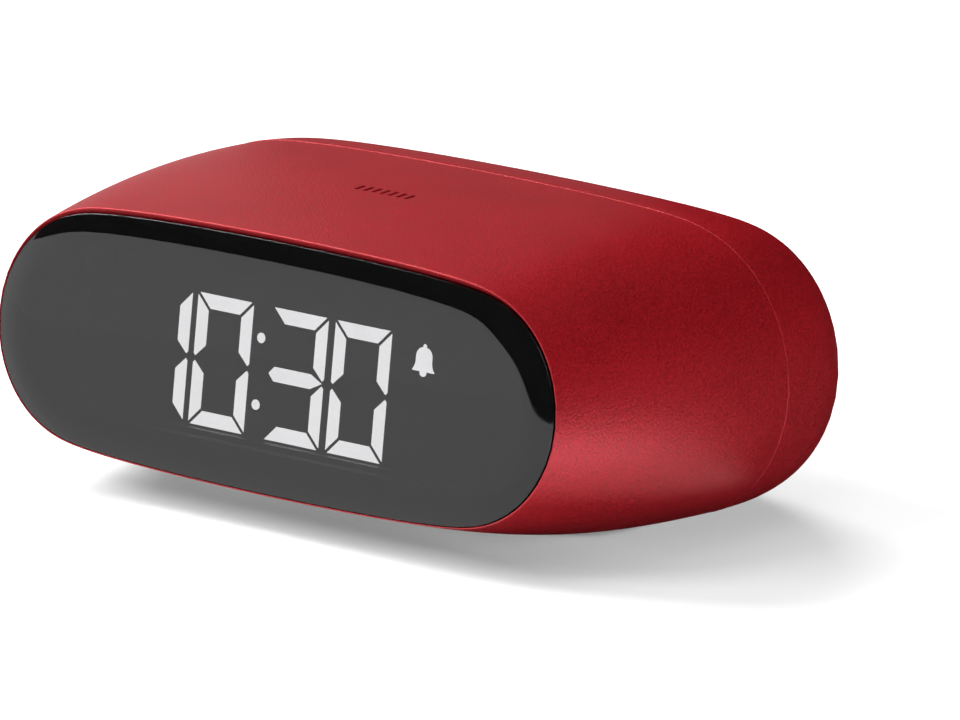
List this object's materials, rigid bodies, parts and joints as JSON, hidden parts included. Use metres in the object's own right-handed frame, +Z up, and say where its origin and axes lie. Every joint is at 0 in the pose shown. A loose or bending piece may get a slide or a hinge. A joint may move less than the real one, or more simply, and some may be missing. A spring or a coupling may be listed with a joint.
{
  "type": "travel alarm clock",
  "caption": "Pebble-shaped travel alarm clock with a large smoked oval window, lit digits, a two-part red shell and controls sunk into the back.",
  "frame": {"origin": "under the middle of the clock, on the plane that its feet stand on", "axes": "+X to the viewer's right as the window is faced, +Y back into the clock, +Z up"},
  "size_m": [0.1016, 0.0616, 0.0393],
  "materials": {
    "red_shell": "satin with a fine spark texture",
    "smoked_window": "gloss, tinted nearly black",
    "black_tape": "matte",
    "black_plastic": "matte",
    "lcd_glass": "clear, digits lit from behind",
    "white_plastic": "satin",
    "black_rubber": "matte",
    "circuit_board": "solder mask",
    "screw_steel": "zinc plated",
    "contact_steel": "nickel plated",
    "touch_brass": "satin",
    "base_plastic": "fine grain",
    "cell_sleeve": "printed sleeve, no lettering",
    "foot_rubber": "matte",
    "key_plastic": "satin"
  },
  "bodies": {
    "clock_body": {"main_housing": "red_shell", "rear_cover": "red_shell", "front_lens": "smoked_window", "lens_mask_tape": "black_tape", "display_frame": "black_plastic", "lcd_glass": "lcd_glass", "light_guide": "white_plastic", "reflector_sheet": "white_plastic", "zebra_strip_upper": "black_rubber", "zebra_strip_lower": "black_rubber", "display_led_left": "white_plastic", "display_led_right": "white_plastic", "main_pcb": "circuit_board", "key_board": "circuit_board", "pcb_screw_left": "screw_steel", "pcb_screw_right": "screw_steel", "key_board_screw_left": "screw_steel", "key_board_screw_right": "screw_steel", "base_screw_front_left": "screw_steel", "base_screw_front_right": "screw_steel", "base_screw_back_left": "screw_steel", "base_screw_back_right": "screw_steel", "mcu_glob_top": "black_plastic", "quartz_crystal": "contact_steel", "smoothing_capacitor": "black_plastic", "touch_electrode": "touch_brass", "touch_contact_strip": "touch_brass", "touch_pad_tape": "black_tape", "base_plate": "base_plastic", "battery_tray": "black_plastic", "aaa_cell_front": "cell_sleeve", "aaa_cell_back": "cell_sleeve", "contact_plate_positive": "contact_steel", "contact_plate_negative": "contact_steel", "contact_plate_bridge": "contact_steel", "contact_spring_front": "contact_steel", "contact_spring_back": "contact_steel", "alarm_switch_body": "contact_steel", "key_dome_set": "contact_steel", "key_dome_down": "contact_steel", "key_dome_up": "contact_steel", "foot_front": "foot_rubber", "foot_back_left": "foot_rubber", "foot_back_right": "foot_rubber", "buzzer": "black_plastic"},
    "set_key": {"key_set": "key_plastic"},
    "down_key": {"key_down": "key_plastic"},
    "up_key": {"key_up": "key_plastic"},
    "alarm_knob": {"alarm_switch_knob": "key_plastic"},
    "door": {"battery_door": "base_plastic"}
  },
  "joints": [
    {"name": "set_key_press", "type": "slide", "parent": "clock_body", "child": "set_key", "axis": [0, -1, 0], "range_m": [0, 0.0008], "stiffness_N_per_m": 900},
    {"name": "down_key_press", "type": "slide", "parent": "clock_body", "child": "down_key", "axis": [0, -1, 0], "range_m": [0, 0.0008], "stiffness_N_per_m": 900},
    {"name": "up_key_press", "type": "slide", "parent": "clock_body", "child": "up_key", "axis": [0, -1, 0], "range_m": [0, 0.0008], "stiffness_N_per_m": 900},
    {"name": "alarm_knob_slide", "type": "slide", "parent": "clock_body", "child": "alarm_knob", "axis": [1, 0, 0], "range_m": [0, 0.003]},
    {"name": "battery_door_lift", "type": "slide", "parent": "clock_body", "child": "door", "axis": [0, 0, -1], "range_m": [0, 0.03]}
  ]
}
